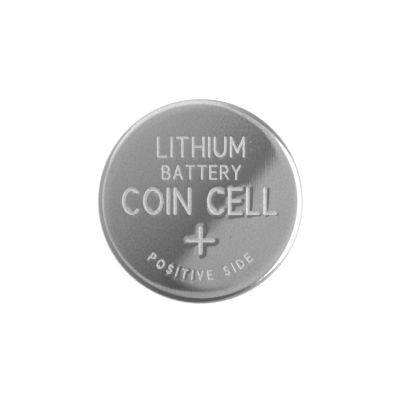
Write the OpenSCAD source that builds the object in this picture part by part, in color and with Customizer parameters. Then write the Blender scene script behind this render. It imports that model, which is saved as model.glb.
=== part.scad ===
// Lithium coin cell, 12.5 mm across and 2 mm high.
// Z is the axis of the cell. The flat of the negative cap lies on z = 0, and the positive face is on top.
// Every section is drawn in the X-Y plane as radius and height, and then turned about the axis.

/* [Cell] */
// Diameter over the positive can
cell_d = 12.5; // [11.5:0.5:24.5]
// Height from the negative contact face to the positive contact face
cell_h = 2.0; // [1.7:0.1:3.2]

/* [Positive can] */
// Thickness of the steel that the can is drawn from
can_t = 0.20; // [0.15:0.01:0.25]
// Inside radius of the drawn corner between the positive face and the wall
can_corner_r = 0.20; // [0.10:0.01:0.28]
// Inside radius of the edge that is rolled in over the gasket
crimp_r = 0.25; // [0.15:0.01:0.32]
// Flat length of the rolled edge beyond its bend
crimp_lip = 0.36; // [0.15:0.01:0.45]
// Radius that the trimming leaves on the outer corner of the can's edge
crimp_trim_r = 0.05; // [0.02:0.01:0.08]
// Height of the rolled edge above the plane that the cell stands on
crimp_rise = 0.10; // [0.06:0.01:0.16]

/* [Gasket] */
// Thickness of the gasket between the can's wall and the cap's skirt
gasket_wall = 0.35; // [0.25:0.01:0.40]
// Thickness of the gasket between the end of the skirt and the can
gasket_base = 0.30; // [0.20:0.01:0.40]
// Width of the gasket's base, measured in from the can's wall
gasket_base_w = 1.20; // [1.00:0.05:1.40]
// Thickness of the gasket's lip between the rolled edge and the cap's shoulder
gasket_lip = 0.15; // [0.12:0.01:0.20]
// Gap between the gasket's lip and the hollow at the foot of the cap's riser
gasket_gap = 0.02; // [0.01:0.01:0.05]
// How far the end of the lip swells out past the inner face of the rolled edge
gasket_bead = 0.10; // [0.05:0.01:0.14]
// Radius of the two corners of the lip's end, which shows round the cap
gasket_round = 0.05; // [0.03:0.01:0.08]

/* [Negative cap] */
// Thickness of the steel that the cap is pressed from
cap_t = 0.20; // [0.15:0.01:0.22]
// Width of the ring between the rolled edge and the raised contact plate, where the gasket shows
seal_show = 0.44; // [0.30:0.01:0.50]
// Inside radius of the bends of the cap
cap_bend_r = 0.14; // [0.08:0.01:0.16]
// Radius of the hollow where the riser turns out into the shoulder
cap_hollow_r = 0.05; // [0.03:0.01:0.08]

/* [Stack] */
// Thickness of the separator
separator_t = 0.15; // [0.10:0.01:0.20]
// Play between the separator and the inside bend of the cap's skirt
separator_play = 0.05; // [0.03:0.01:0.10]
// Width of bare cap left round the lithium disc
lithium_margin = 0.55; // [0.30:0.05:0.80]
// Play between the cathode pellet and the gasket's base
pellet_play = 0.15; // [0.05:0.05:0.25]
// Bevel on the two edges of the pressed pellet
pellet_bevel = 0.08; // [0.04:0.01:0.12]
// Thickness of the cathode's collector net
net_t = 0.05; // [0.04:0.01:0.08]
// Width of pellet left round the net
net_margin = 0.30; // [0.20:0.05:0.50]
// Solid edge of the net
net_rim = 0.25; // [0.20:0.05:0.40]
// Long pitch of the net's diamond openings
net_pitch_x = 1.30; // [1.00:0.05:1.60]
// Short pitch of the net's diamond openings
net_pitch_y = 0.70; // [0.50:0.05:0.90]
// Width of the strands of the net
net_strand = 0.14; // [0.10:0.01:0.18]

/* [Hidden] */
$fn = 96;

cell_r = cell_d / 2;

// The can: outside radii of its two bends, the radius of its bore and where its flats and bends meet
can_corner_out = can_corner_r + can_t;
can_bore_r = cell_r - can_t;
can_flat_r = cell_r - can_corner_out;
can_floor_z = cell_h - can_t;
crimp_out = crimp_r + can_t;
crimp_flat_r = cell_r - crimp_out;
crimp_lip_r = crimp_flat_r - crimp_lip;
crimp_in_z = crimp_rise + can_t;
wall_low_z = crimp_rise + crimp_out;
wall_high_z = cell_h - can_corner_out;

// The cap: its plate, its riser, its shoulder under the gasket's lip, and its skirt
cap_bend_out = cap_bend_r + cap_t;
cap_plate_r = crimp_lip_r - seal_show;
cap_flat_r = cap_plate_r - cap_bend_out;
shoulder_z = crimp_in_z + gasket_lip;
shoulder_in_z = shoulder_z + cap_t;
hollow_x = cap_plate_r + cap_hollow_r;
skirt_r = can_bore_r - gasket_wall;
skirt_bend_x = skirt_r - cap_bend_out;
skirt_bend_z = shoulder_z + cap_bend_out;
skirt_end_z = can_floor_z - gasket_base;

// The gasket: its bore, and the end of its lip between the rolled edge and the cap
gasket_bore_r = can_bore_r - gasket_base_w;
lip_end_r = hollow_x + gasket_gap;
bead_z = crimp_in_z - gasket_bead;

// The stack, from the cap up to the can
lithium_r = cap_flat_r - lithium_margin;
separator_r = skirt_bend_x - separator_play;
separator_top_z = shoulder_in_z + separator_t;
pellet_r = gasket_bore_r - pellet_play;
pellet_top_z = can_floor_z - net_t;
net_r = pellet_r - net_margin;

steel = [0.74, 0.74, 0.73];
cap_steel = [0.69, 0.69, 0.68];
polypropylene = [0.20, 0.20, 0.21];
lithium = [0.80, 0.80, 0.78];
nonwoven = [0.93, 0.93, 0.90];
manganese_dioxide = [0.10, 0.10, 0.10];
net_steel = [0.55, 0.55, 0.54];

// Rectangle between two corners of the section.
module flat(low, high) {
    translate(low) square(high - low);
}

// Quarter bend of a sheet about a centre. The side says which quarter, such as [1, -1] for outwards and down.
module bend(centre, inner, thickness, side) {
    reach = inner + thickness;
    translate(centre)
        intersection() {
            difference() {
                circle(r = reach);
                circle(r = inner);
            }
            translate([min(side[0], 0) * reach, min(side[1], 0) * reach]) square(reach);
        }
}

// Filled quarter of a circle, which rounds a corner of a solid section.
module filled_bend(centre, radius, side) {
    translate(centre)
        intersection() {
            circle(r = radius);
            translate([min(side[0], 0) * radius, min(side[1], 0) * radius]) square(radius);
        }
}

// Drawn cup: the positive face, its corner, the wall, and the edge rolled in under the gasket.
module can_section() {
    flat([0, can_floor_z], [can_flat_r, cell_h]);
    bend([can_flat_r, wall_high_z], can_corner_r, can_t, [1, 1]);
    flat([can_bore_r, wall_low_z], [cell_r, wall_high_z]);
    bend([crimp_flat_r, wall_low_z], crimp_r, can_t, [1, -1]);
    flat([crimp_lip_r, crimp_rise + crimp_trim_r], [crimp_flat_r, crimp_in_z]);
    flat([crimp_lip_r + crimp_trim_r, crimp_rise], [crimp_flat_r, crimp_in_z]);
    filled_bend([crimp_lip_r + crimp_trim_r, crimp_rise + crimp_trim_r], crimp_trim_r, [-1, -1]);
}

// Pressed lid: the contact plate, the riser, the shoulder that the seal bears on, and the skirt.
module cap_section() {
    flat([0, 0], [cap_flat_r, cap_t]);
    bend([cap_flat_r, cap_bend_out], cap_bend_r, cap_t, [1, -1]);
    flat([cap_plate_r - cap_t, cap_bend_out], [cap_plate_r, shoulder_z - cap_hollow_r]);
    bend([hollow_x, shoulder_z - cap_hollow_r], cap_hollow_r, cap_t, [-1, 1]);
    flat([hollow_x, shoulder_z], [skirt_bend_x, shoulder_in_z]);
    bend([skirt_bend_x, skirt_bend_z], cap_bend_r, cap_t, [1, -1]);
    flat([skirt_r - cap_t, skirt_bend_z], [skirt_r, skirt_end_z]);
}

// Space inside the can, with the rounded corners of its two bends.
module can_space_section() {
    flat([0, crimp_in_z], [crimp_flat_r, can_floor_z]);
    flat([0, wall_high_z], [can_flat_r, can_floor_z]);
    flat([0, wall_low_z], [can_bore_r, wall_high_z]);
    filled_bend([crimp_flat_r, wall_low_z], crimp_r, [1, -1]);
    filled_bend([can_flat_r, wall_high_z], can_corner_r, [1, 1]);
}

// Space that the cap's shoulder and skirt take up, with all that lies inside them.
module cap_space_section() {
    flat([0, shoulder_z], [skirt_bend_x, skirt_end_z]);
    flat([0, skirt_bend_z], [skirt_r, skirt_end_z]);
    filled_bend([skirt_bend_x, skirt_bend_z], cap_bend_out, [1, -1]);
}

// Seal as it lies once the can's edge is rolled over it: a base under the skirt's end, a wall between
// the can and the skirt, and a lip over the shoulder that swells a little where it comes out round the cap.
module gasket_section() {
    difference() {
        can_space_section();
        cap_space_section();
        flat([0, crimp_in_z], [crimp_lip_r, shoulder_z]);
        flat([0, skirt_end_z], [gasket_bore_r, can_floor_z]);
    }
    flat([lip_end_r, bead_z + gasket_round], [crimp_lip_r, shoulder_z]);
    flat([lip_end_r + gasket_round, bead_z], [crimp_lip_r - gasket_round, shoulder_z]);
    filled_bend([lip_end_r + gasket_round, bead_z + gasket_round], gasket_round, [-1, -1]);
    filled_bend([crimp_lip_r - gasket_round, bead_z + gasket_round], gasket_round, [1, -1]);
}

module positive_can() {
    color(steel) rotate_extrude() can_section();
}

module negative_cap() {
    color(cap_steel) rotate_extrude() cap_section();
}

module gasket() {
    color(polypropylene) rotate_extrude() gasket_section();
}

module lithium_anode() {
    color(lithium) translate([0, 0, cap_t]) cylinder(r = lithium_r, h = shoulder_in_z - cap_t);
}

module separator() {
    color(nonwoven) translate([0, 0, shoulder_in_z]) cylinder(r = separator_r, h = separator_t);
}

module cathode_pellet() {
    color(manganese_dioxide)
        rotate_extrude()
            polygon([[0, separator_top_z], [pellet_r - pellet_bevel, separator_top_z],
                     [pellet_r, separator_top_z + pellet_bevel], [pellet_r, pellet_top_z - pellet_bevel],
                     [pellet_r - pellet_bevel, pellet_top_z], [0, pellet_top_z]]);
}

// Diamond openings of expanded sheet, in rows that are each set over by half a pitch.
module net_openings() {
    half = [net_pitch_x / 2, net_pitch_y / 2];
    open_share = 1 - net_strand / 2 * norm(half) / (half[0] * half[1]);
    a = half[0] * open_share;
    b = half[1] * open_share;
    columns = ceil(net_r / half[0]);
    rows = ceil(net_r / half[1]);
    for (row = [-rows : rows], column = [-columns : columns])
        if ((row + column) % 2 == 0)
            translate([column * half[0], row * half[1]])
                polygon([[a, 0], [0, b], [-a, 0], [0, -b]]);
}

module cathode_net() {
    color(net_steel)
        translate([0, 0, pellet_top_z])
            linear_extrude(net_t)
                difference() {
                    circle(r = net_r);
                    intersection() {
                        circle(r = net_r - net_rim);
                        net_openings();
                    }
                }
}

positive_can();
negative_cap();
gasket();
lithium_anode();
separator();
cathode_pellet();
cathode_net();
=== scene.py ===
import math

import bpy
import numpy as np
from mathutils.geometry import delaunay_2d_cdt
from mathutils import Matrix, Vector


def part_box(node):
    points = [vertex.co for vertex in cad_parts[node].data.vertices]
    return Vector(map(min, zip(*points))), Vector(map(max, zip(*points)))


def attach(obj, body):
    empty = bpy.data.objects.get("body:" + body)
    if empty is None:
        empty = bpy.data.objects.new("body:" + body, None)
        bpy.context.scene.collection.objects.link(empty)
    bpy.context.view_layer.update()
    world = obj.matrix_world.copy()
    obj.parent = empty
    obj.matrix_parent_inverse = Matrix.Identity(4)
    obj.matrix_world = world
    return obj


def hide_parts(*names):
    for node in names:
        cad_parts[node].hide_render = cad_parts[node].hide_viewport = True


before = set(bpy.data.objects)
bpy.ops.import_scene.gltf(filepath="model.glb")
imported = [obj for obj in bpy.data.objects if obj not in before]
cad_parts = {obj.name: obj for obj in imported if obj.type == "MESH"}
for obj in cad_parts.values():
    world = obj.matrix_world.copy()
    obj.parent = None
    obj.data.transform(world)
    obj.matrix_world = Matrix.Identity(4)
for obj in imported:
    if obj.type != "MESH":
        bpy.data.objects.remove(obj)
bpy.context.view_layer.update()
MM = 0.001


# The view of the photograph.
# The camera looks straight down on the positive face, from where a close-up lens stands.
# The can's outline, a little below the face, fills the same circle of the picture as in the photograph.
PHOTO_SIDE = 400
PHOTO_CENTRE = (200.5, 201.3)
PHOTO_DIAMETER = 205.0
CAMERA_HEIGHT = 60.0
OUTLINE_DEPTH = 0.4
SENSOR_W = 36.0

can_low, can_high = (np.array(corner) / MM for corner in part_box("positive_can"))
cell_r = can_high[0]
cell_h = can_high[2]
field = 2 * cell_r * PHOTO_SIDE / PHOTO_DIAMETER
camera_data = bpy.data.cameras.new("close_up_camera")
camera_data.sensor_width = SENSOR_W
camera_data.lens = SENSOR_W * (CAMERA_HEIGHT + OUTLINE_DEPTH) / field
camera_data.clip_start = 1 * MM
camera_data.clip_end = 10
camera = bpy.data.objects.new("close_up_camera", camera_data)
camera.location = (
    (PHOTO_SIDE / 2 - PHOTO_CENTRE[0]) * field / PHOTO_SIDE * MM,
    (PHOTO_CENTRE[1] - PHOTO_SIDE / 2) * field / PHOTO_SIDE * MM,
    (cell_h + CAMERA_HEIGHT) * MM,
)
bpy.context.scene.collection.objects.link(camera)
bpy.context.scene.camera = camera
bpy.context.scene.view_settings.view_transform = "Standard"


# Positive can.
# It is deep drawn from nickel-plated stainless sheet: its floor is the positive face, stamped with the marks,
# and its edge is rolled in over the gasket. The mesh is the stamped face, joined to a turned wall and inside.
SHEET_T = 0.20
CORNER_R = 0.40
CRIMP_R = 0.45
CRIMP_RISE = can_low[2]
LIP_END_R = 5.44
TRIM_R = 0.05
TURN_STEPS = 384
POLE_R = 0.05
CROWN_SLOPE = 0.010
ROLL_START = 5.20
EDGE_SLOPE = 0.060
FACE_WAVES = (
    # height, waves per mm along x and along y, phase
    (0.0030, 0.09, 0.10, 0.4),
    (0.0016, 0.21, -0.10, 2.1),
)
DRAW_START = math.radians(25)
DRAW_FULL = math.radians(58)
DENTS = (
    # small dents in the corner: degrees round the rim, down the corner and off upright, then depth, width and
    # length
    (41.8, 46, 8, 0.014, 0.042, 0.13),
    (-51.5, 17, 72, 0.006, 0.022, 0.13),
    (-54.5, 24, 84, 0.006, 0.022, 0.10),
    (-57.5, 18, 78, 0.007, 0.022, 0.12),
    (-61.5, 22, 84, 0.006, 0.022, 0.16),
)
DENT_SPAN = 2.5
DENT_COLUMN = 0.4
PITS = (
    # small pits in the face: place, radius and depth; the first two make one slanting tick
    (1.74, -2.20, 0.036, 0.0045),
    (1.80, -2.13, 0.036, 0.0050),
    (3.03, 3.59, 0.032, 0.0030),
    (3.00, 3.23, 0.026, 0.0016),
    (3.06, 3.05, 0.026, 0.0018),
)
PIT_REACH = 0.14
PIT_PITCH = 0.014
EDGE_INSET = 0.012
SLOPE_STEP = 0.001
BOW_STEP = 6


def line(start, end):
    """Straight stretch of a profile: rows of radius, height and the normal, which lies left of the way.
    A row just inside each end keeps the flat evenly shaded up to its corners."""
    length = math.dist(start, end)
    way = np.subtract(end, start) / length
    along = np.array([0, EDGE_INSET, length - EDGE_INSET, length])[:, None]
    return np.hstack([start + along * way, np.tile([-way[1], way[0]], (4, 1))])


def arc(centre, radius, start, stop, steps):
    """Round stretch of a profile: centre plus radius times cosine and sine of the angle, from start to stop
    in degrees. A stretch that turns clockwise bulges outwards, and one that turns the other way is
    hollow."""
    turn = np.radians(np.linspace(start, stop, steps + 1))
    out = np.column_stack([np.cos(turn), np.sin(turn)])
    return np.hstack([centre + radius * out, out if stop < start else -out])


def profile(*stretches):
    """Stretches end to end. Where two meet one row is kept, with the mean of their two normals."""
    rows = stretches[0]
    for stretch in stretches[1:]:
        meeting = np.append(stretch[0, :2], rows[-1, 2:] + stretch[0, 2:])
        rows = np.vstack([rows[:-1], meeting, stretch[1:]])
    rows[:, 2:] /= np.hypot(rows[:, 2], rows[:, 3])[:, None]
    return rows


def turned(rows, angles):
    """Points and normals of a turned surface: each row's radius times the cosine and sine of each angle."""
    c, s = np.cos(angles)[None, :], np.sin(angles)[None, :]
    r, z, nr, nz = (rows[:, i, None] for i in range(4))
    return np.stack([r * c, r * s, z + 0 * c], axis=2), np.stack([nr * c, nr * s, nz + 0 * c], axis=2)


def ring_quads(rings, columns, closed=False):
    """Quads from each ring to the next, with the ring and the column of their corners beside them."""
    i, j = np.meshgrid(np.arange(rings - (not closed)), np.arange(columns), indexing="ij")
    ring = np.stack([i, i + 1, i + 1, i], axis=2).reshape(-1, 4)
    column = np.stack([j, j, j + 1, j + 1], axis=2).reshape(-1, 4)
    return (ring % rings) * columns + column % columns, ring, column


def distance_along(rows):
    """Length of a profile up to each of its rows."""
    return np.append(0, np.cumsum(np.hypot(*np.diff(rows[:, :2], axis=0).T)))


def hex_grid(reach, pitch):
    """Points of a triangular lattice inside a circle: rows a pitch times the root of 3/4 apart, each second
    one moved by half a pitch."""
    count = int(reach / pitch) + 2
    row, column = np.mgrid[-2 * count : 2 * count + 1, -2 * count : 2 * count + 1]
    points = np.column_stack([(column + (row % 2) / 2).ravel(), (row * math.sqrt(0.75)).ravel()]) * pitch
    return points[np.hypot(*points.T) < reach]


def fill_ring(inside, ring):
    """Triangles over the points inside a ring and its own, with no point in another triangle's circle."""
    made = delaunay_2d_cdt(np.vstack([inside, ring]).tolist(), [], [], 0, 1e-7)
    return np.array([own[0] for own in made[3]])[np.array(made[2])]


def make_piece(name, points, faces, uvs, normals=None, **masks):
    """Smooth object at the origin from points in millimetres and groups of faces. The UV map is in
    millimetres too, and each mask is a value from 0 to 1 for each point."""
    mesh = bpy.data.meshes.new(name)
    mesh.from_pydata((points * MM).tolist(), [], [face for group in faces for face in group.tolist()])
    mesh.uv_layers.new(name="sheet").data.foreach_set("uv", np.concatenate([uv.ravel() for uv in uvs]))
    for title, mask in masks.items():
        mesh.attributes.new(title, "FLOAT", "POINT").data.foreach_set("value", mask)
    mesh.shade_smooth()
    if normals is not None:
        mesh.normals_split_custom_set_from_vertices(normals.tolist())
    piece = bpy.data.objects.new(name, mesh)
    bpy.context.scene.collection.objects.link(piece)
    return piece


# The stamped marks: a plus sign, and plain words for what the cell is. A letter is its width and its strokes,
# each the middle of a groove, in cap heights.
def bow(x, y, reach_x, reach_y, start, stop):
    """Points a few degrees apart on an ellipse about (x, y), from start to stop in degrees."""
    turn = np.radians(np.linspace(start, stop, int(abs(stop - start) / BOW_STEP) + 2))
    return list(zip(x + reach_x * np.cos(turn), y + reach_y * np.sin(turn)))


P_BOWL = [(0, 0), (0, 1), *bow(0.37, 0.74, 0.27, 0.26, 90, -90), (0, 0.48)]
B_TOP = [(0, 0.53), (0, 1), *bow(0.35, 0.765, 0.25, 0.235, 90, -90), (0, 0.53)]
B_FOOT = [(0, 0.53), (0, 0), *bow(0.38, 0.265, 0.28, 0.265, -90, 90)]
S_CURVE = [*bow(0.31, 0.76, 0.27, 0.24, 30, 270), *bow(0.31, 0.26, 0.29, 0.26, 84, -150)]
LETTERS = {
    " ": (0.30, []),
    "+": (1.0, [[(0, 0.5), (1, 0.5)], [(0.5, 0), (0.5, 1)]]),
    "A": (0.78, [[(0, 0), (0.39, 1), (0.78, 0)], [(0.13, 0.32), (0.65, 0.32)]]),
    "B": (0.66, [B_TOP, B_FOOT]),
    "C": (0.76, [bow(0.44, 0.5, 0.44, 0.5, 48, 312)]),
    "D": (0.76, [[(0, 0), (0, 1), *bow(0.28, 0.5, 0.48, 0.5, 90, -90), (0, 0)]]),
    "E": (0.60, [[(0.60, 1), (0, 1), (0, 0), (0.60, 0)], [(0, 0.52), (0.52, 0.52)]]),
    "H": (0.74, [[(0, 0), (0, 1)], [(0.74, 0), (0.74, 1)], [(0, 0.52), (0.74, 0.52)]]),
    "I": (0.0, [[(0, 0), (0, 1)]]),
    "L": (0.56, [[(0, 1), (0, 0), (0.56, 0)]]),
    "M": (0.90, [[(0, 0), (0, 1), (0.45, 0.22), (0.90, 1), (0.90, 0)]]),
    "N": (0.76, [[(0, 0), (0, 1), (0.76, 0), (0.76, 1)]]),
    "O": (0.90, [bow(0.45, 0.5, 0.45, 0.5, 0, 360)]),
    "P": (0.64, [P_BOWL]),
    "R": (0.68, [P_BOWL, [(0.34, 0.48), (0.68, 0)]]),
    "S": (0.62, [S_CURVE]),
    "T": (0.72, [[(0, 1), (0.72, 1)], [(0.36, 1), (0.36, 0)]]),
    "U": (0.74, [[(0, 1), *bow(0.37, 0.37, 0.37, 0.37, 180, 360), (0.74, 1)]]),
    "V": (0.76, [[(0, 1), (0.38, 0), (0.76, 1)]]),
    "Y": (0.74, [[(0, 1), (0.37, 0.48), (0.74, 1)], [(0.37, 0.48), (0.37, 0)]]),
}


def level(middle, base):
    """Puts a mark on the face: along from its middle, and up from a level base line."""
    return lambda along, up: np.column_stack([middle + along, base + up])


def round_the_bottom(radius):
    """Puts a mark on a circle instead, below the middle of the face, with its letters' tops to the middle."""
    return lambda along, up: np.column_stack(
        [(radius - up) * np.sin(along / radius), -(radius - up) * np.cos(along / radius)]
    )


MARKS = (
    # words, cap height, width, squeeze of the letters, stroke width, depth, how far the sheet beside the
    # strokes is drawn down, how wide and how one-sided that is, and place; heights and widths are between
    # the middles of the strokes
    ("LITHIUM", 1.14, 5.20, 0.76, 0.128, 0.012, 0.0030, 0.09, 1.0, level(0.03, 2.725)),
    ("BATTERY", 0.79, 4.69, 0.80, 0.103, 0.010, 0.0025, 0.09, 1.0, level(0.06, 1.365)),
    ("COIN", 1.46, 3.99, 0.78, 0.20, 0.016, 0.0030, 0.10, 1.0, level(-2.66, -0.71)),
    ("CELL", 1.46, 4.05, 0.78, 0.20, 0.015, 0.0092, 0.085, 0.8, level(2.53, -0.71)),
    ("+", 1.50, 1.50, 1.0, 0.23, 0.013, 0.0105, 0.11, 0.5, level(0.01, -3.11)),
    ("POSITIVE SIDE", 0.50, 6.98, 0.86, 0.105, 0.009, 0.0028, 0.09, 1.0, round_the_bottom(4.74)),
)
SHARP_TURN = math.radians(20)
GROOVE_REACH = 1.2
DRAWN_SHARE = 0.96
DRAWN_TO = (0.75, -0.66)
DRAWN_TURN = 0.75
ROW_SHARES = (0.3, 0.6, 0.85, 1.0, 1.1, 1.2, 1.45, 1.8, 2.5)
ROW_STEP = 0.05
ROW_SLACK = 0.02
BELL_REACH = 3
FAR_SHARE = 9.0
STAMPED_END = 1.2
STAMPED_FADE = 0.2
CLOSE_PITCH = 0.075
CLOSE_ROOM = 0.06
CLOSE_SHARES = (2.9, 6.5)
OPEN_PITCH = 0.16
OPEN_ROOM = 0.10
OPEN_SHARE = 6.9
RING_ROOM = 0.05
LEAST_SPACING = 0.011


def smooth_runs(points):
    """Cuts a stroke where it turns sharply, so that each run is straight or a bow."""
    heading = np.arctan2(*np.diff(points, axis=0).T[::-1])
    turn = np.abs((np.diff(heading) + math.pi) % (2 * math.pi) - math.pi)
    cuts = [0, *(np.nonzero(turn > SHARP_TURN)[0] + 1), len(points) - 1]
    return [points[a : b + 1] for a, b in zip(cuts[:-1], cuts[1:])]


def evenly(points, step):
    """The same run with its points at even steps along it."""
    along = distance_along(points)
    at = np.linspace(0, along[-1], max(3, int(along[-1] / step) + 2))
    return np.column_stack([np.interp(at, along, points[:, 0]), np.interp(at, along, points[:, 1])])


stamped_marks = []
for words, cap_height, width, squeeze, stroke_w, depth, drawn_down, drawn_w, lean, place in MARKS:
    letters = [LETTERS[c] for c in words]
    letters_w = cap_height * squeeze * sum(letter_w for letter_w, strokes in letters)
    gap = (width - letters_w) / max(len(letters) - 1, 1)
    left = -width / 2
    paths = []
    for letter_w, strokes in letters:
        for run in [run for stroke in strokes for run in smooth_runs(np.array(stroke))]:
            x, y = evenly(run, ROW_STEP / cap_height).T * cap_height
            paths.append(place(left + squeeze * x, y))
        left += cap_height * squeeze * letter_w + gap
    stamped_marks.append((paths, stroke_w / 2, depth, drawn_down, drawn_w, lean))


def from_path(points, path, reach):
    """Which points lie within reach of a path's box, and how far each is off its nearest place."""
    near = np.all((points > path.min(0) - reach) & (points < path.max(0) + reach), axis=1).nonzero()[0]
    start, way = path[:-1], np.diff(path, axis=0)
    rel = points[near, None] - start
    along = np.clip(np.sum(rel * way, axis=2) / np.sum(way * way, axis=1), 0, 1)
    off = rel - along[..., None] * way
    nearest = np.hypot(off[..., 0], off[..., 1]).argmin(axis=1)
    return near, off[np.arange(len(near)), nearest]


def stamp(points):
    """Height of the stamped marks, and how far from the nearest groove's middle, in half strokes.
    A groove's depth falls as the square of 1 minus the squared share of its reach. The punch leans, so that
    the sheet beside the groove is drawn down in a bell mostly on one side: its share goes smoothly from 1
    minus the lean to 1 across the groove and round its ends. Where the bells of a mark meet, the shares that
    they leave are multiplied."""
    height = np.zeros(len(points))
    share = np.full(len(points), FAR_SHARE)
    for paths, half, depth, drawn_down, drawn_w, lean in stamped_marks:
        reach2 = (GROOVE_REACH * half) ** 2
        bell2 = (half + drawn_w) ** 2
        groove = np.zeros(len(points))
        left = np.ones(len(points))
        for path in paths:
            near, off = from_path(points, path, BELL_REACH * math.sqrt(bell2))
            off2 = np.sum(off * off, axis=1)
            groove[near] = np.maximum(groove[near], depth * np.clip(1 - off2 / reach2, 0, None) ** 2)
            side = np.clip(0.5 + DRAWN_TURN * (off @ DRAWN_TO) / np.sqrt(off2 + half**2 / 4), 0, 1)
            bell = np.exp(-off2 / bell2) * (1 - lean + lean * side**2 * (3 - 2 * side))
            left[near] *= 1 - DRAWN_SHARE * bell
            share[near] = np.minimum(share[near], np.sqrt(off2) / half)
        height -= groove + drawn_down * (1 - left)
    return height, share


def groove_rows():
    """Points along each groove's middle, and at the set shares of the half stroke beside it and round its
    ends. Those that lie nearer to another groove are left out."""
    grooves = [(path, half) for paths, half, *_ in stamped_marks for path in paths]
    points = [path for path, half in grooves]
    shares = [np.zeros(len(path)) for path in points]
    for path, half in grooves:
        way = np.gradient(path, axis=0)
        way /= np.hypot(*way.T)[:, None]
        side = np.column_stack([-way[:, 1], way[:, 0]])
        for reach in half * np.array(ROW_SHARES):
            bend = np.linspace(0, math.pi, max(4, int(math.pi * reach / ROW_STEP)))[1:-1, None]
            first_end = path[0] + reach * (np.cos(bend) * side[0] - np.sin(bend) * way[0])
            last_end = path[-1] + reach * (np.cos(bend) * side[-1] + np.sin(bend) * way[-1])
            row = np.vstack([path + reach * side, path - reach * side, first_end, last_end])
            points.append(row)
            shares.append(np.full(len(row), reach / half))
    points = np.vstack(points)
    return points[stamp(points)[1] > np.concatenate(shares) - ROW_SLACK]


def plain_face(points):
    """Height of the face without its marks: a crown that falls as the square of the radius, a roll that falls
    as the cube of the way to the edge, slow waves that fade out there, and a small bell for each pit."""
    r = np.hypot(*points.T)
    r2 = (r / face_r) ** 2
    crown = CROWN_SLOPE * face_r / 2 * r2
    roll_w = face_r - ROLL_START
    roll = (EDGE_SLOPE - CROWN_SLOPE) * roll_w / 3 * np.clip((r - ROLL_START) / roll_w, 0, None) ** 3
    waves = sum(
        wave_h * np.sin(2 * math.pi * (kx * points[:, 0] + ky * points[:, 1]) + phase)
        for wave_h, kx, ky, phase in FACE_WAVES
    )
    pits = sum(
        depth * np.exp(-np.sum((points - (x, y)) ** 2, axis=1) / radius**2) for x, y, radius, depth in PITS
    )
    return waves * np.clip(1 - r2, 0, 1) ** 2 - crown - roll - pits


def face_height(points):
    """Height of the face with its marks."""
    return plain_face(points) + stamp(points)[0]


def thinned(points, spacing):
    """The points that come first in each square of a fine grid, so that none lie on top of each other."""
    first = np.unique(np.round(points / spacing), axis=0, return_index=True)[1]
    return points[np.sort(first)]


corner_start = 90 - math.degrees(math.atan(EDGE_SLOPE))
corner_x = cell_r - CORNER_R
face_r = corner_x + CORNER_R * math.cos(math.radians(corner_start))
angles = np.linspace(0, 2 * math.pi, TURN_STEPS, endpoint=False)
for dent_angle, _, _, _, dent_w, dent_length in DENTS:
    middle = math.radians(dent_angle) % (2 * math.pi)
    span = DENT_SPAN * dent_length / cell_r
    steps = int(2 * DENT_SPAN * dent_length / (DENT_COLUMN * dent_w))
    angles = angles[np.abs(angles - middle) > span]
    angles = np.append(angles, middle + np.linspace(-span, span, steps))
angles = np.sort(angles)
ring = face_r * np.column_stack([np.cos(angles), np.sin(angles)])

# The points of the face lie in rows along the grooves and close together in the pits, and fill the rest in
# two grids, a close one near the marks and an open one away from them.
close_grid = hex_grid(face_r - CLOSE_ROOM, CLOSE_PITCH)
close_share = stamp(close_grid)[1]
close_grid = close_grid[(close_share > CLOSE_SHARES[0]) & (close_share < CLOSE_SHARES[1])]
open_grid = hex_grid(face_r - OPEN_ROOM, OPEN_PITCH)
open_grid = open_grid[stamp(open_grid)[1] > OPEN_SHARE]
pit_grids = [hex_grid(PIT_REACH, PIT_PITCH) + pit[:2] for pit in PITS]
inside = np.vstack([groove_rows(), *pit_grids, close_grid, open_grid])
inside = thinned(inside[np.hypot(*inside.T) < face_r - RING_ROOM], LEAST_SPACING)
flat = np.vstack([inside, ring])
height = face_height(flat)
moves = SLOPE_STEP * np.eye(2)
slopes = [(face_height(flat + move) - face_height(flat - move)) / (2 * SLOPE_STEP) for move in moves]
face_points = np.column_stack([flat, cell_h + height - height.max()])
face_normals = np.column_stack([-slopes[0], -slopes[1], np.ones(len(flat))])
face_normals /= np.linalg.norm(face_normals, axis=1)[:, None]
face_tris = fill_ring(inside, ring)

edge_z = face_points[-1, 2]
corner_z = edge_z - CORNER_R * math.sin(math.radians(corner_start))
inner_corner_z = cell_h - CORNER_R
crimp_x, crimp_z = cell_r - CRIMP_R, CRIMP_RISE + CRIMP_R
bore_r = cell_r - SHEET_T
lip_top_z = CRIMP_RISE + SHEET_T
lip_x = LIP_END_R + TRIM_R
can_rows = profile(
    arc((corner_x, corner_z), CORNER_R, corner_start, 0, 40),
    line((cell_r, corner_z), (cell_r, crimp_z)),
    arc((crimp_x, crimp_z), CRIMP_R, 0, -90, 20),
    line((crimp_x, CRIMP_RISE), (lip_x, CRIMP_RISE)),
    arc((lip_x, CRIMP_RISE + TRIM_R), TRIM_R, -90, -180, 5),
    line((LIP_END_R, CRIMP_RISE + TRIM_R), (LIP_END_R, lip_top_z)),
    line((LIP_END_R, lip_top_z), (crimp_x, lip_top_z)),
    arc((crimp_x, crimp_z), CRIMP_R - SHEET_T, -90, 0, 8),
    line((bore_r, crimp_z), (bore_r, inner_corner_z)),
    arc((corner_x, inner_corner_z), CORNER_R - SHEET_T, 0, 90, 8),
    line((corner_x, cell_h - SHEET_T), (POLE_R, cell_h - SHEET_T)),
)
wall_points, wall_normals = turned(can_rows, angles)
wall_along = distance_along(can_rows)

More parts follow.
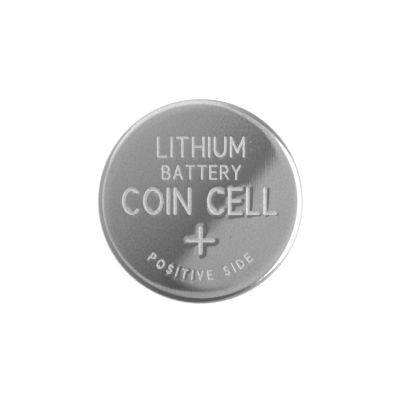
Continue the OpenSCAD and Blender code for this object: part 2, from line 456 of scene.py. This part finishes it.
# The dents are where the cell has struck and rubbed against things. Each is a slanted bell, pressed in along
# the normals, which lean by the bell's slopes round the rim and down it.
round_way = np.stack([-np.sin(angles), np.cos(angles), 0 * angles], axis=1)[None]
down_way = np.cross(round_way, wall_normals)
pressed_in = np.zeros(wall_normals.shape[:2])
lean = np.zeros(wall_normals.shape)
for dent_angle, dent_down, dent_tilt, dent_depth, dent_w, dent_length in DENTS:
    turn = (angles - math.radians(dent_angle) + math.pi) % (2 * math.pi) - math.pi
    across = turn[None, :] * cell_r
    down = (wall_along - CORNER_R * math.radians(dent_down))[:, None]
    tilt_cos, tilt_sin = math.cos(math.radians(dent_tilt)), math.sin(math.radians(dent_tilt))
    dent_x = (across * tilt_cos + down * tilt_sin) / dent_w
    dent_y = (down * tilt_cos - across * tilt_sin) / dent_length
    dent = dent_depth * np.exp(-(dent_x**2) - dent_y**2)
    pressed_in += dent
    lean += (2 * dent * (dent_y * tilt_sin / dent_length - dent_x * tilt_cos / dent_w))[..., None] * round_way
    lean -= (2 * dent * (dent_x * tilt_sin / dent_w + dent_y * tilt_cos / dent_length))[..., None] * down_way
wall_points -= pressed_in[..., None] * wall_normals
wall_normals += lean
wall_normals /= np.linalg.norm(wall_normals, axis=2)[..., None]

quads, quad_ring, quad_column = ring_quads(len(can_rows), len(angles))
first = len(inside)
inner_ring = first + (len(can_rows) - 1) * len(angles) + np.arange(len(angles))
pole = first + wall_normals[..., 0].size
pole_tris = np.column_stack([np.roll(inner_ring, -1), inner_ring, np.full(len(angles), pole)])
can_points = np.vstack([face_points[:first], wall_points.reshape(-1, 3), [[0, 0, cell_h - SHEET_T]]])
can_normals = np.vstack([face_normals[:first], wall_normals.reshape(-1, 3), [[0, 0, -1]]])
round_mm = np.append(angles, angles[0] + 2 * math.pi) * cell_r
stamped = np.zeros(len(can_points))
stamped[:first] = np.clip((STAMPED_END - stamp(inside)[1]) / STAMPED_FADE, 0, 1)
drawn = np.clip((wall_along / CORNER_R - DRAW_START) / (DRAW_FULL - DRAW_START), 0, 1)
can = make_piece(
    "can_shell",
    can_points,
    [face_tris, quads + first, pole_tris],
    [
        flat[face_tris],
        np.stack([round_mm[quad_column], -wall_along[quad_ring]], axis=2),
        can_points[pole_tris][..., :2],
    ],
    can_normals,
    stamped=stamped,
    drawn=np.concatenate([np.zeros(first), np.repeat(drawn, len(angles)), [1]]),
)
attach(can, "root")
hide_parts("positive_can")


# Nickel plate on the can, the cap and the net.
# The sheet is rolled and polished before it is drawn, so it mirrors its surroundings through a fine straight
# grain, which shows most at one place. The dies leave the stamped grooves and the drawn wall more matt than
# the face, and at two rubbed spots the plate is a little more mottled.
FACE_GREY = 0.52
GROOVE_GREY = 0.58
WALL_GREY = 0.50
FACE_ROUGHNESS = 0.05
GROOVE_ROUGHNESS = 0.55
WALL_ROUGHNESS = 0.34
PLATE_STREAK = 0.0006
PLATE_SPECKLE = 0.00013
SPECKLE_STRETCH = 1.35
PLATE_TONE = 0.05
TONE_SCALE = 0.4
PLATE_MOTTLE = 0.40
STREAK_SPOT = (4.1, 2.0, 0)
STREAK_REACH = (1.0, 3.0)
STREAK_LEAST = 0.25
RUBBED_SPOTS = ((-2.9, -3.0, 0), (2.6, 4.0, 0))
RUBBED_REACHES = ((1.0, 3.4), (0.8, 2.6))
RUBBED_MOTTLE = 0.78


def node(tree, kind, inputs=None, **settings):
    """Adds a shader node. Each input gets a link if its value is a socket, and otherwise the value."""
    made = tree.nodes.new(kind)
    for name, value in settings.items():
        setattr(made, name, value)
    for name, value in (inputs or {}).items():
        if isinstance(value, bpy.types.NodeSocket):
            tree.links.new(value, made.inputs[name])
        else:
            made.inputs[name].default_value = value
    return made


def sums(tree, operation, *values):
    """One step of arithmetic on numbers and sockets."""
    return node(tree, "ShaderNodeMath", dict(enumerate(values)), operation=operation).outputs[0]


def between(tree, share, low, high):
    """Low where the share is 0, and high where it is 1."""
    return sums(tree, "MULTIPLY_ADD", share, high - low, low)


def material_tree(name):
    """A new node material, and its empty tree."""
    made = bpy.data.materials.new(name)
    made.use_nodes = True
    made.node_tree.nodes.clear()
    return made, made.node_tree


def surface(tree, shader):
    """Ends a material in its shader."""
    node(tree, "ShaderNodeOutputMaterial", {"Surface": shader.outputs[0]})


def bumped(tree, height):
    """Normals tilted by a height in millimetres."""
    return node(tree, "ShaderNodeBump", {"Strength": 1.0, "Distance": MM, "Height": height}).outputs[0]


def new_group(name, inputs, outputs):
    """An empty node group with its inputs and outputs, and the sockets inside it that stand for them."""
    group = bpy.data.node_groups.new(name, "ShaderNodeTree")
    for title, value in inputs.items():
        kind = "NodeSocketVector" if value is None else "NodeSocketFloat"
        socket = group.interface.new_socket(title, in_out="INPUT", socket_type=kind)
        if value is not None:
            socket.default_value = value
    for title in outputs:
        group.interface.new_socket(title, in_out="OUTPUT", socket_type="NodeSocketFloat")
    return group, group.nodes.new("NodeGroupInput").outputs, group.nodes.new("NodeGroupOutput").inputs


def stretched(tree, vector, width, length):
    """The vector's X and Y in widths and lengths of a mark."""
    x, y, z = node(tree, "ShaderNodeSeparateXYZ", {0: vector}).outputs
    parts = {0: sums(tree, "DIVIDE", x, width), 1: sums(tree, "DIVIDE", y, length), 2: z}
    return node(tree, "ShaderNodeCombineXYZ", parts).outputs[0]


def noise(tree, vector, scale, detail):
    """Soft noise from 0 to 1, with as many finer layers as the detail says."""
    return node(tree, "ShaderNodeTexNoise", {"Vector": vector, "Scale": scale, "Detail": detail}).outputs[0]


def round_spot(tree, vector, spot, reach, near, far):
    """A value that goes smoothly from near to far between two distances from a spot."""
    off_spot = node(tree, "ShaderNodeVectorMath", {0: vector, 1: spot}, operation="DISTANCE").outputs["Value"]
    span = {"Value": off_spot, "From Min": reach[0], "From Max": reach[1], "To Min": near, "To Max": far}
    return node(tree, "ShaderNodeMapRange", span, interpolation_type="SMOOTHSTEP").outputs[0]


rolled_grain, given, result = new_group(
    "rolled_grain",
    {"Vector": None, "Streak Width": 0.11, "Streak Length": 1.4, "Streak Depth": 0.0002,
     "Speckle Size": 0.125, "Speckle Depth": 0.0001},
    ["Height", "Speckle", "Tone"],
)
along_grain = stretched(rolled_grain, given["Vector"], given["Streak Width"], given["Streak Length"])
streaks = noise(rolled_grain, along_grain, 1, 1)
speckle_length = sums(rolled_grain, "MULTIPLY", given["Speckle Size"], SPECKLE_STRETCH)
speckle = noise(
    rolled_grain, stretched(rolled_grain, given["Vector"], given["Speckle Size"], speckle_length), 1, 3
)
speckle_height = sums(rolled_grain, "MULTIPLY", speckle, given["Speckle Depth"])
grain_height = sums(rolled_grain, "MULTIPLY_ADD", streaks, given["Streak Depth"], speckle_height)
rolled_grain.links.new(grain_height, result["Height"])
rolled_grain.links.new(speckle, result["Speckle"])
rolled_grain.links.new(noise(rolled_grain, given["Vector"], TONE_SCALE, 2), result["Tone"])

nickel, tree = material_tree("nickel_plate")
uv = node(tree, "ShaderNodeUVMap", uv_map="sheet").outputs[0]
streak_depth = round_spot(tree, uv, STREAK_SPOT, STREAK_REACH, PLATE_STREAK, PLATE_STREAK * STREAK_LEAST)
mottle_share = sums(tree, "MAXIMUM", *(
    round_spot(tree, uv, spot, reach, RUBBED_MOTTLE, PLATE_MOTTLE)
    for spot, reach in zip(RUBBED_SPOTS, RUBBED_REACHES)
))
grain = node(
    tree,
    "ShaderNodeGroup",
    {"Vector": uv, "Streak Depth": streak_depth, "Speckle Depth": PLATE_SPECKLE},
    node_tree=rolled_grain,
).outputs
in_groove = node(tree, "ShaderNodeAttribute", attribute_name="stamped").outputs["Fac"]
on_wall = node(tree, "ShaderNodeAttribute", attribute_name="drawn").outputs["Fac"]
tone = between(tree, grain["Tone"], 1 - PLATE_TONE, 1 + PLATE_TONE)
off_mean = sums(tree, "SUBTRACT", grain["Speckle"], 0.5)
mottle = sums(tree, "MULTIPLY_ADD", off_mean, mottle_share, 1)
stamped_grey = between(tree, in_groove, FACE_GREY, GROOVE_GREY)
grey = sums(tree, "MULTIPLY_ADD", on_wall, WALL_GREY - FACE_GREY, stamped_grey)
roughness = between(tree, in_groove, FACE_ROUGHNESS, GROOVE_ROUGHNESS)
surface(
    tree,
    node(
        tree,
        "ShaderNodeBsdfPrincipled",
        {
            "Base Color": sums(tree, "MULTIPLY", grey, sums(tree, "MULTIPLY", tone, mottle)),
            "Metallic": 1.0,
            "Roughness": sums(tree, "MULTIPLY_ADD", on_wall, WALL_ROUGHNESS - FACE_ROUGHNESS, roughness),
            "Normal": bumped(tree, grain["Height"]),
        },
    ),
)
can.data.materials.append(nickel)


# Negative cap.
# A pressed lid of nickel-plated stainless sheet, under the cell: a contact plate with fine dimples, a riser,
# a shoulder that the seal bears on, and a skirt that the can's edge is rolled round.
PLATE_R = 5.00
BEND_R = 0.14
HOLLOW_R = 0.05
SHOULDER_Z = 0.45
DIMPLE_PITCH = 0.30
DIMPLE_DEPTH = 0.012
DIMPLED_R = 4.55
DIMPLE_FADE = 0.6
DIMPLE_LOW = 1.5
DIMPLE_SPAN = 4.5
PLATE_ROOM = 0.04
CUT_R = 0.04

cap_high = np.array(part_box("negative_cap")[1]) / MM
skirt_r, skirt_top = cap_high[0], cap_high[2]
bend_out = BEND_R + SHEET_T
flat_r = PLATE_R - bend_out
hollow_x = PLATE_R + HOLLOW_R
hollow_z = SHOULDER_Z - HOLLOW_R
shoulder_top = SHOULDER_Z + SHEET_T
skirt_x = skirt_r - bend_out
skirt_z = SHOULDER_Z + bend_out
skirt_in = skirt_r - SHEET_T
cap_rows = profile(
    line((POLE_R, SHEET_T), (flat_r, SHEET_T)),
    arc((flat_r, bend_out), BEND_R, -90, 0, 8),
    line((PLATE_R - SHEET_T, bend_out), (PLATE_R - SHEET_T, hollow_z)),
    arc((hollow_x, hollow_z), HOLLOW_R + SHEET_T, 180, 90, 10),
    line((hollow_x, shoulder_top), (skirt_x, shoulder_top)),
    arc((skirt_x, skirt_z), BEND_R, -90, 0, 8),
    line((skirt_in, skirt_z), (skirt_in, skirt_top - CUT_R)),
    arc((skirt_in + CUT_R, skirt_top - CUT_R), CUT_R, 180, 90, 3),
    line((skirt_in + CUT_R, skirt_top), (skirt_r - CUT_R, skirt_top)),
    arc((skirt_r - CUT_R, skirt_top - CUT_R), CUT_R, 90, 0, 3),
    line((skirt_r, skirt_top - CUT_R), (skirt_r, skirt_z)),
    arc((skirt_x, skirt_z), bend_out, 0, -90, 12),
    line((skirt_x, SHOULDER_Z), (hollow_x, SHOULDER_Z)),
    arc((hollow_x, hollow_z), HOLLOW_R, 90, 180, 5),
    line((PLATE_R, hollow_z), (PLATE_R, bend_out)),
    arc((flat_r, bend_out), bend_out, 0, -90, 16),
)
angles = np.linspace(0, 2 * math.pi, TURN_STEPS, endpoint=False)
ring = flat_r * np.column_stack([np.cos(angles), np.sin(angles)])
# A dimple is the sum of three cosine waves 120 degrees apart, which runs from -1.5 to 3.
inside = hex_grid(flat_r - PLATE_ROOM, DIMPLE_PITCH / 4)
directions = np.radians([90, 210, 330])
waves = 4 * math.pi / math.sqrt(3) / DIMPLE_PITCH * np.column_stack([np.cos(directions), np.sin(directions)])
phase = inside @ waves.T
fade = np.clip((DIMPLED_R - np.hypot(*inside.T)) / DIMPLE_FADE, 0, 1)
dimples = DIMPLE_DEPTH * fade * (np.cos(phase).sum(axis=1) + DIMPLE_LOW) / DIMPLE_SPAN
dimple_slope = -DIMPLE_DEPTH / DIMPLE_SPAN * fade[:, None] * (np.sin(phase) @ waves)
plate_normals = np.column_stack([dimple_slope, -np.ones(len(inside))])
plate_normals /= np.linalg.norm(plate_normals, axis=1)[:, None]
turned_points, turned_normals = turned(cap_rows, angles)
plate_first = turned_normals[..., 0].size
cap_points = np.vstack([turned_points.reshape(-1, 3), np.column_stack([inside, dimples]), [[0, 0, SHEET_T]]])
cap_normals = np.vstack([turned_normals.reshape(-1, 3), plate_normals, [[0, 0, 1]]])
columns = np.arange(len(angles))
plate_ids = np.append(plate_first + np.arange(len(inside)), plate_first - len(angles) + columns)
plate_tris = plate_ids[fill_ring(inside, ring)][:, ::-1]
pole_tris = np.column_stack([columns, np.roll(columns, -1), np.full(len(columns), len(cap_points) - 1)])
quads, quad_ring, quad_column = ring_quads(len(cap_rows), len(angles))
round_mm = np.append(angles, 2 * math.pi) * skirt_r
cap = make_piece(
    "cap_shell",
    cap_points,
    [quads, plate_tris, pole_tris],
    [
        np.stack([round_mm[quad_column], -distance_along(cap_rows)[quad_ring]], axis=2),
        cap_points[plate_tris][..., :2],
        cap_points[pole_tris][..., :2],
    ],
    cap_normals,
)
cap.data.materials.append(nickel)
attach(cap, "root")
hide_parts("negative_cap")


# Gasket.
# One moulded ring of dark polypropylene, squeezed between can and cap when the edge is rolled in.
# Its lip swells out round the cap, a little more in some places than in others.
GASKET_BASE_T = 0.30
GASKET_BASE_W = 1.20
LIP_GAP = 0.02
LIP_SWELL = 0.10
LIP_ROUND = 0.05
LIP_END_SHARE = 0.6
SWELL_WAVES = (
    # height, waves round the ring, phase
    (0.006, 5, 0.7),
    (0.004, 13, 2.2),
    (0.002, 31, 4.1),
)
MOULD_TONE_SCALE = 1.4

floor_z = cell_h - SHEET_T
base_in = bore_r - GASKET_BASE_W
base_z = floor_z - GASKET_BASE_T
lip_in = hollow_x + LIP_GAP
lip_low = lip_top_z - LIP_SWELL
gasket_rows = profile(
    line((base_in, floor_z), (corner_x, floor_z)),
    arc((corner_x, inner_corner_z), CORNER_R - SHEET_T, 90, 0, 8),
    line((bore_r, inner_corner_z), (bore_r, crimp_z)),
    arc((crimp_x, crimp_z), CRIMP_R - SHEET_T, 0, -90, 8),
    line((crimp_x, lip_top_z), (LIP_END_R, lip_top_z)),
    line((LIP_END_R, lip_top_z), (LIP_END_R, lip_low + LIP_ROUND)),
    arc((LIP_END_R - LIP_ROUND, lip_low + LIP_ROUND), LIP_ROUND, 0, -90, 6),
    line((LIP_END_R - LIP_ROUND, lip_low), (lip_in + LIP_ROUND, lip_low)),
    arc((lip_in + LIP_ROUND, lip_low + LIP_ROUND), LIP_ROUND, -90, -180, 6),
    line((lip_in, lip_low + LIP_ROUND), (lip_in, SHOULDER_Z)),
    line((lip_in, SHOULDER_Z), (skirt_x, SHOULDER_Z)),
    arc((skirt_x, skirt_z), bend_out, -90, 0, 10),
    line((skirt_r, skirt_z), (skirt_r, base_z)),
    line((skirt_r, base_z), (base_in, base_z)),
    line((base_in, base_z), (base_in, floor_z)),
)[:-1]
gasket_points = turned(gasket_rows, angles)[0]
swell = sum(h * (1 + np.sin(n * angles + phase)) for h, n, phase in SWELL_WAVES)
on_lip = (gasket_rows[:, 1] < lip_low + LIP_END_SHARE * LIP_ROUND).astype(float)
gasket_points[..., 2] += on_lip[:, None] * swell
quads, quad_ring, quad_column = ring_quads(len(gasket_rows), len(angles), closed=True)
gasket_along = np.append(distance_along(gasket_rows), distance_along(gasket_rows)[-1] + GASKET_BASE_T)
gasket = make_piece(
    "gasket_ring",
    gasket_points.reshape(-1, 3),
    [quads],
    [np.stack([round_mm[quad_column], -gasket_along[quad_ring]], axis=2)],
)
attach(gasket, "root")
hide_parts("gasket")

moulded, given, result = new_group(
    "moulded_surface", {"Vector": None, "Size": 0.1, "Depth": 0.002}, ["Height", "Tone"]
)
pores = noise(moulded, stretched(moulded, given["Vector"], given["Size"], given["Size"]), 1, 3)
moulded.links.new(sums(moulded, "MULTIPLY", pores, given["Depth"]), result["Height"])
moulded.links.new(noise(moulded, given["Vector"], MOULD_TONE_SCALE, 2), result["Tone"])


def object_mm(tree):
    """Object coordinates in millimetres."""
    at = node(tree, "ShaderNodeTexCoord").outputs["Object"]
    return node(tree, "ShaderNodeVectorMath", {0: at, "Scale": 1 / MM}, operation="SCALE").outputs[0]


def tinted(tree, share, dark, light):
    """Colour between two others, mixed by a share."""
    mixed = node(tree, "ShaderNodeMix", {0: share}, data_type="RGBA")
    mixed.inputs[6].default_value = (*dark, 1)
    mixed.inputs[7].default_value = (*light, 1)
    return mixed.outputs[2]


def pressed_material(name, dark, light, roughness, size, depth, metallic=0.0):
    """Material of a moulded, pressed or felted piece: its tone changes slowly, over fine pores."""
    made, tree = material_tree(name)
    pores = node(
        tree, "ShaderNodeGroup", {"Vector": object_mm(tree), "Size": size, "Depth": depth}, node_tree=moulded
    ).outputs
    shading = {
        "Base Color": tinted(tree, pores["Tone"], dark, light),
        "Metallic": metallic,
        "Roughness": roughness,
        "Normal": bumped(tree, pores["Height"]),
    }
    surface(tree, node(tree, "ShaderNodeBsdfPrincipled", shading))
    return made


polypropylene = pressed_material(
    "dark_polypropylene", (0.026, 0.027, 0.029), (0.042, 0.043, 0.046), 0.42, 0.05, 0.0015
)
gasket.data.materials.append(polypropylene)


# The stack that the closed cell hides: lithium foil, separator, pressed cathode and its net.
# The foil is soft rolled metal, the separator a felt of fine fibres, and the cathode a pressed powder.
lithium = pressed_material("rolled_lithium", (0.50, 0.50, 0.49), (0.62, 0.62, 0.60), 0.5, 0.06, 0.002, 1.0)
separator_felt = pressed_material("fibre_separator", (0.78, 0.78, 0.75), (0.88, 0.88, 0.86), 0.9, 0.04, 0.01)
cathode_mass = pressed_material(
    "pressed_cathode", (0.012, 0.012, 0.013), (0.026, 0.026, 0.027), 0.8, 0.05, 0.006
)
net_steel = pressed_material("net_steel", (0.40, 0.40, 0.39), (0.52, 0.52, 0.51), 0.3, 0.05, 0.001, 1.0)
for name, material in (
    ("lithium_anode", lithium),
    ("separator", separator_felt),
    ("cathode_pellet", cathode_mass),
    ("cathode_net", net_steel),
):
    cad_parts[name].data.materials.clear()
    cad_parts[name].data.materials.append(material)


# The studio: a pale table in a tent, lit by one large soft box and closed in by grey screens, as metal is
# shot. The flat face mirrors the camera's grey shield, which is darkest along the middle and lighter to the
# lower right, and the rounded corner mirrors the screens and a few flat cards just above the table, which are
# painted light and shade of the table that only reflections show. The table has a hole under the cell,
# through which the underside mirrors three bars. The camera sees none of them, and the table is white to it,
# but for the cell's faint shadow.
SHIELD_Z = 200
SHIELD_R = 47.5
SHIELD_CENTRE = (-1, 1.5)
SHIELD_TURN = math.radians(-41.5)
SHIELD_REACH = 60
SHIELD_TONES = (
    # mm along the shield towards the lower right, and its light
    (-30, 0.65), (-20, 0.55), (-15, 0.51), (-10, 0.45), (-5, 0.38), (0, 0.315), (5, 0.26), (6.8, 0.24),
    (10, 0.68), (14, 0.675), (25, 0.645), (32, 0.71), (38, 0.77), (45, 0.82),
)
SHIELD_FALL = 0.004
SHIELD_EDGE = 28
SHIELD_LIFT = 0.005
HOOK_START = 25.5
HOOK = 0.05
PANELS = (
    # name, distance, width of the soft edge, and for some azimuths the lowest and highest zenith and the
    # light
    ("lower_cloth", 244, 3, (
        (178, 10, 50, 0.98), (200, 10, 45, 0.80), (236, 9, 40, 0.70), (250, 9, 40, 0.46), (262, 9, 30, 0.64),
        (300, 9, 30, 0.70), (315, 9, 30, 0.67), (335, 9, 24, 0.95),
    )),
    ("top_screen", 240, 12, (
        (64, 18, 105, 1.0), (80, 20, 105, 1.2), (95, 25, 105, 1.38), (160, 28, 105, 1.40),
    )),
    ("upper_flag", 236, 5, (
        (14, 94, 105, 0.60), (30, 74, 105, 0.58), (40, 53, 105, 0.55), (50, 35, 105, 0.46),
        (60, 29, 105, 0.54), (70, 27, 105, 0.75), (80, 27, 105, 1.0),
    )),
    ("dark_screen", 232, 5, (
        (126, 90, 105, 0.95), (150, 66, 105, 0.75), (160, 39, 105, 0.72), (185, 38, 105, 0.60),
        (205, 26, 105, 0.48), (225, 16, 105, 0.335), (245, 12, 105, 0.215), (262, 12, 94, 0.18),
        (280, 14, 86, 0.20), (292, 15, 78, 0.25), (300, 17, 80, 0.42), (309, 20, 60, 0.60),
    )),
    ("edge_screen", 231, 5, (
        (280, 72, 90, 0.60), (300, 62, 90, 0.58), (309, 60, 94, 0.68), (325, 62, 96, 0.76),
    )),
    ("soft_box", 228, 3, (
        (-61, 42, 51, 1.25), (-55, 40, 53, 1.4), (-49, 30, 55, 1.9), (-40, 20, 74, 1.95), (-30, 16, 97, 2.1),
        (0, 14, 105, 2.1), (20, 14, 105, 2.1), (30, 16, 76, 2.1), (37, 21, 54, 1.9), (45, 28, 38, 1.4),
    )),
    ("hook_card", 199, 0.9, (
        (236, 6.2, 11.2, 0.26), (250, 6.2, 10.6, 0.165), (260, 6.6, 9.7, 0.165), (270, 7.1, 9.6, 0.27),
        (280, 7.4, 9.6, 0.40), (294, 7.7, 9.5, 0.54),
    )),
    ("arc_card", 198.5, 1.2, (
        (196, 12.9, 15.6, 0.74), (220, 11.5, 15.3, 0.74), (240, 10.7, 14.7, 0.67), (254, 10.4, 13.8, 0.50),
    )),
    ("wedge_card", 198.5, 1.4, ((49, 9.8, 15.4, 0.82), (60, 10.7, 15.6, 0.89), (76, 12.2, 15.8, 0.96))),
    ("under_bar_1", 236, 8, ((-160, 100, 116, 0.30), (160, 100, 116, 0.30))),
    ("under_bar_2", 236, 8, ((-140, 126, 142, 0.30), (180, 126, 142, 0.30))),
    ("under_bar_3", 236, 8, ((-120, 151, 165, 0.30), (200, 151, 165, 0.30))),
)
SOFT_ENDS = 7
PANEL_ROWS = 31
PANEL_COLUMNS = 61
ROUND_STEPS = 64


def stage_mesh(name, points, faces, material):
    """A surface of the studio, which isn't part of the object."""
    mesh = bpy.data.meshes.new(name)
    mesh.from_pydata((points * MM).tolist(), [], faces.tolist())
    mesh.materials.append(material)
    made = bpy.data.objects.new(name, mesh)
    bpy.context.scene.collection.objects.link(made)
    return made


shield_cloth, tree = material_tree("shield_cloth")
at = node(tree, "ShaderNodeSeparateXYZ", {0: object_mm(tree)}).outputs
turn_cos, turn_sin = math.cos(SHIELD_TURN), math.sin(SHIELD_TURN)
along = sums(tree, "MULTIPLY_ADD", at[0], turn_cos, sums(tree, "MULTIPLY", at[1], turn_sin))
beside = sums(tree, "MULTIPLY_ADD", at[0], turn_sin, sums(tree, "MULTIPLY", at[1], -turn_cos))
past = sums(tree, "MAXIMUM", sums(tree, "MULTIPLY_ADD", beside, -1, -HOOK_START), 0)
along = sums(tree, "MULTIPLY_ADD", sums(tree, "MULTIPLY", past, past), HOOK, along)
off_square = sums(tree, "MULTIPLY_ADD", at[0], at[0], sums(tree, "MULTIPLY", at[1], at[1]))
off_middle = sums(tree, "SQRT", off_square)
lift = sums(tree, "MULTIPLY_ADD", off_middle, SHIELD_LIFT, 1 - SHIELD_LIFT * SHIELD_EDGE)
lift = sums(tree, "MAXIMUM", lift, 1)
fall = sums(tree, "MULTIPLY", lift, sums(tree, "MULTIPLY_ADD", beside, -SHIELD_FALL, 1))
ramp = node(tree, "ShaderNodeValToRGB", {0: sums(tree, "MULTIPLY_ADD", along, 0.5 / SHIELD_REACH, 0.5)})
for slot, (mm, light) in enumerate(SHIELD_TONES):
    place = 0.5 + mm * 0.5 / SHIELD_REACH
    stop = ramp.color_ramp.elements[slot] if slot < 2 else ramp.color_ramp.elements.new(place)
    stop.position = place
    stop.color = (light, light, light, 1)
surface(tree, node(tree, "ShaderNodeEmission", {"Color": ramp.outputs[0], "Strength": fall}))
turn = np.linspace(0, 2 * math.pi, ROUND_STEPS, endpoint=False)
unit_ring = np.column_stack([np.cos(turn), np.sin(turn)])
shield_rim = np.column_stack([SHIELD_CENTRE + SHIELD_R * unit_ring, np.full(ROUND_STEPS, SHIELD_Z)])
shield = stage_mesh("shield", shield_rim, np.arange(ROUND_STEPS)[None, ::-1], shield_cloth)
shield.visible_camera = False

lit_panel, tree = material_tree("lit_panel")
light = node(tree, "ShaderNodeAttribute", attribute_name="light").outputs["Fac"]
cover = node(tree, "ShaderNodeAttribute", attribute_name="cover").outputs["Fac"]
lit = node(tree, "ShaderNodeEmission", {"Strength": light}).outputs[0]
clear = node(tree, "ShaderNodeBsdfTransparent").outputs[0]
surface(tree, node(tree, "ShaderNodeMixShader", {0: cover, 1: clear, 2: lit}))


def lit_mesh(name, points, rows, azimuth, stops, inner=1.0):
    """A lit surface that the camera doesn't see, made of rows of points that each run along the azimuths. Its
    light is interpolated between the stops, and its cover fades out at the two ends and where inner falls
    below 1."""
    columns = len(azimuth)
    i, j = (index.ravel() for index in np.mgrid[: rows - 1, : columns - 1])
    first = i * columns + j
    corners = np.column_stack([first, first + 1, first + columns + 1, first + columns])
    made = stage_mesh(name, points, corners, lit_panel)
    ends = np.minimum(azimuth - stops[0][0], stops[-1][0] - azimuth) / SOFT_ENDS
    cover = np.clip(inner, 0, 1) * np.clip(ends, 0, 1) * np.ones((rows, 1))
    light = np.tile(np.interp(azimuth, [stop[0] for stop in stops], [stop[-1] for stop in stops]), rows)
    for title, mask in (("light", light), ("cover", cover.ravel())):
        made.data.attributes.new(title, "FLOAT", "POINT").data.foreach_set("value", mask)
    made.visible_camera = False
    return made


for name, distance, soft_edge, stops in PANELS:
    at, lows, highs, _ = np.array(stops).T
    azimuth = np.linspace(at[0], at[-1], PANEL_COLUMNS)
    low, high = np.interp(azimuth, at, lows), np.interp(azimuth, at, highs)
    zenith = low + (high - low) * (0.5 - 0.5 * np.cos(np.linspace(0, math.pi, PANEL_ROWS)))[:, None]
    out, turn = np.radians(zenith), np.radians(azimuth)
    patch = distance * np.stack([np.sin(out) * np.cos(turn), np.sin(out) * np.sin(turn), np.cos(out)], axis=2)
    inner = np.minimum(zenith - low, high - zenith) / soft_edge
    lit_mesh(name, patch.reshape(-1, 3), PANEL_ROWS, azimuth, stops, inner)

TABLE_GREY = 0.45
TABLE_GLOW = 0.75
TABLE_R = (6.0, 1500)
CARD_Z = 0.1
CARD_R = (9.3, 230)
# The three cards are painted light and shade on the table, seen only in reflections: they light nothing and
# cast no shadow. The left card is painted shade that stands in for the cell's shadow on the table to the left
# and below, the upper card is painted shade to the upper right, and the right card is a painted lighter
# stretch of table on the soft box's side.
TABLE_LIGHT_AND_SHADE_CARDS = (
    # name, and for some azimuths the light
    ("left_card", ((126, 1.0), (145, 0.72), (180, 0.64), (205, 0.53), (225, 0.42), (262, 0.36), (282, 0.48),
                   (300, 0.76), (316, 1.0))),
    ("upper_card", ((20, 1.0), (34, 0.58), (60, 0.56), (80, 0.75), (94, 1.0))),
    ("right_card", ((-42, 1.2), (-25, 1.6), (0, 1.6), (14, 1.2))),
)


def seen_ray(tree):
    """1 for what the camera sees, itself or in metal or glass, and 0 for the light that falls on things."""
    ray = node(tree, "ShaderNodeLightPath").outputs
    mirrored = sums(tree, "MAXIMUM", ray["Is Glossy Ray"], ray["Is Transmission Ray"])
    return sums(tree, "MAXIMUM", ray["Is Camera Ray"], mirrored)


table_top, tree = material_tree("table_top")
paper = node(tree, "ShaderNodeBsdfDiffuse", {"Color": (TABLE_GREY, TABLE_GREY, TABLE_GREY, 1)}).outputs[0]
seen_glow = sums(tree, "MULTIPLY", seen_ray(tree), TABLE_GLOW)
glow = node(tree, "ShaderNodeEmission", {"Strength": seen_glow}).outputs[0]
lit = node(tree, "ShaderNodeAddShader", {0: paper, 1: glow}).outputs[0]
from_below = node(tree, "ShaderNodeNewGeometry").outputs["Backfacing"]
clear = node(tree, "ShaderNodeBsdfTransparent").outputs[0]
surface(tree, node(tree, "ShaderNodeMixShader", {0: from_below, 1: lit, 2: clear}))
ground = np.column_stack([unit_ring, np.zeros(ROUND_STEPS)])
i = np.arange(ROUND_STEPS)
next_i = np.roll(i, -1)
table_quads = np.column_stack([i, i + ROUND_STEPS, next_i + ROUND_STEPS, next_i])
stage_mesh("table", np.vstack([r * ground for r in TABLE_R]), table_quads, table_top)
# Painted table shade and light for reflections only: the cards are hidden from the camera, from diffuse light
# and from shadows.
for name, stops in TABLE_LIGHT_AND_SHADE_CARDS:
    azimuth = np.linspace(stops[0][0], stops[-1][0], PANEL_COLUMNS)
    turn = np.radians(azimuth)
    way = np.column_stack([np.cos(turn), np.sin(turn)])
    strip = np.vstack([np.column_stack([r * way, np.full(PANEL_COLUMNS, CARD_Z)]) for r in CARD_R])
    card = lit_mesh(name, strip, len(CARD_R), azimuth, stops)
    card.visible_diffuse = False
    card.visible_shadow = False

ROOM_LIGHT = 0.8
world = bpy.data.worlds.new("white_room")
bpy.context.scene.world = world
world.use_nodes = True
world.node_tree.nodes.clear()
strength = between(world.node_tree, seen_ray(world.node_tree), ROOM_LIGHT, 1.0)
room = node(world.node_tree, "ShaderNodeBackground", {"Color": (1, 1, 1, 1), "Strength": strength})
node(world.node_tree, "ShaderNodeOutputWorld", {"Surface": room.outputs[0]})
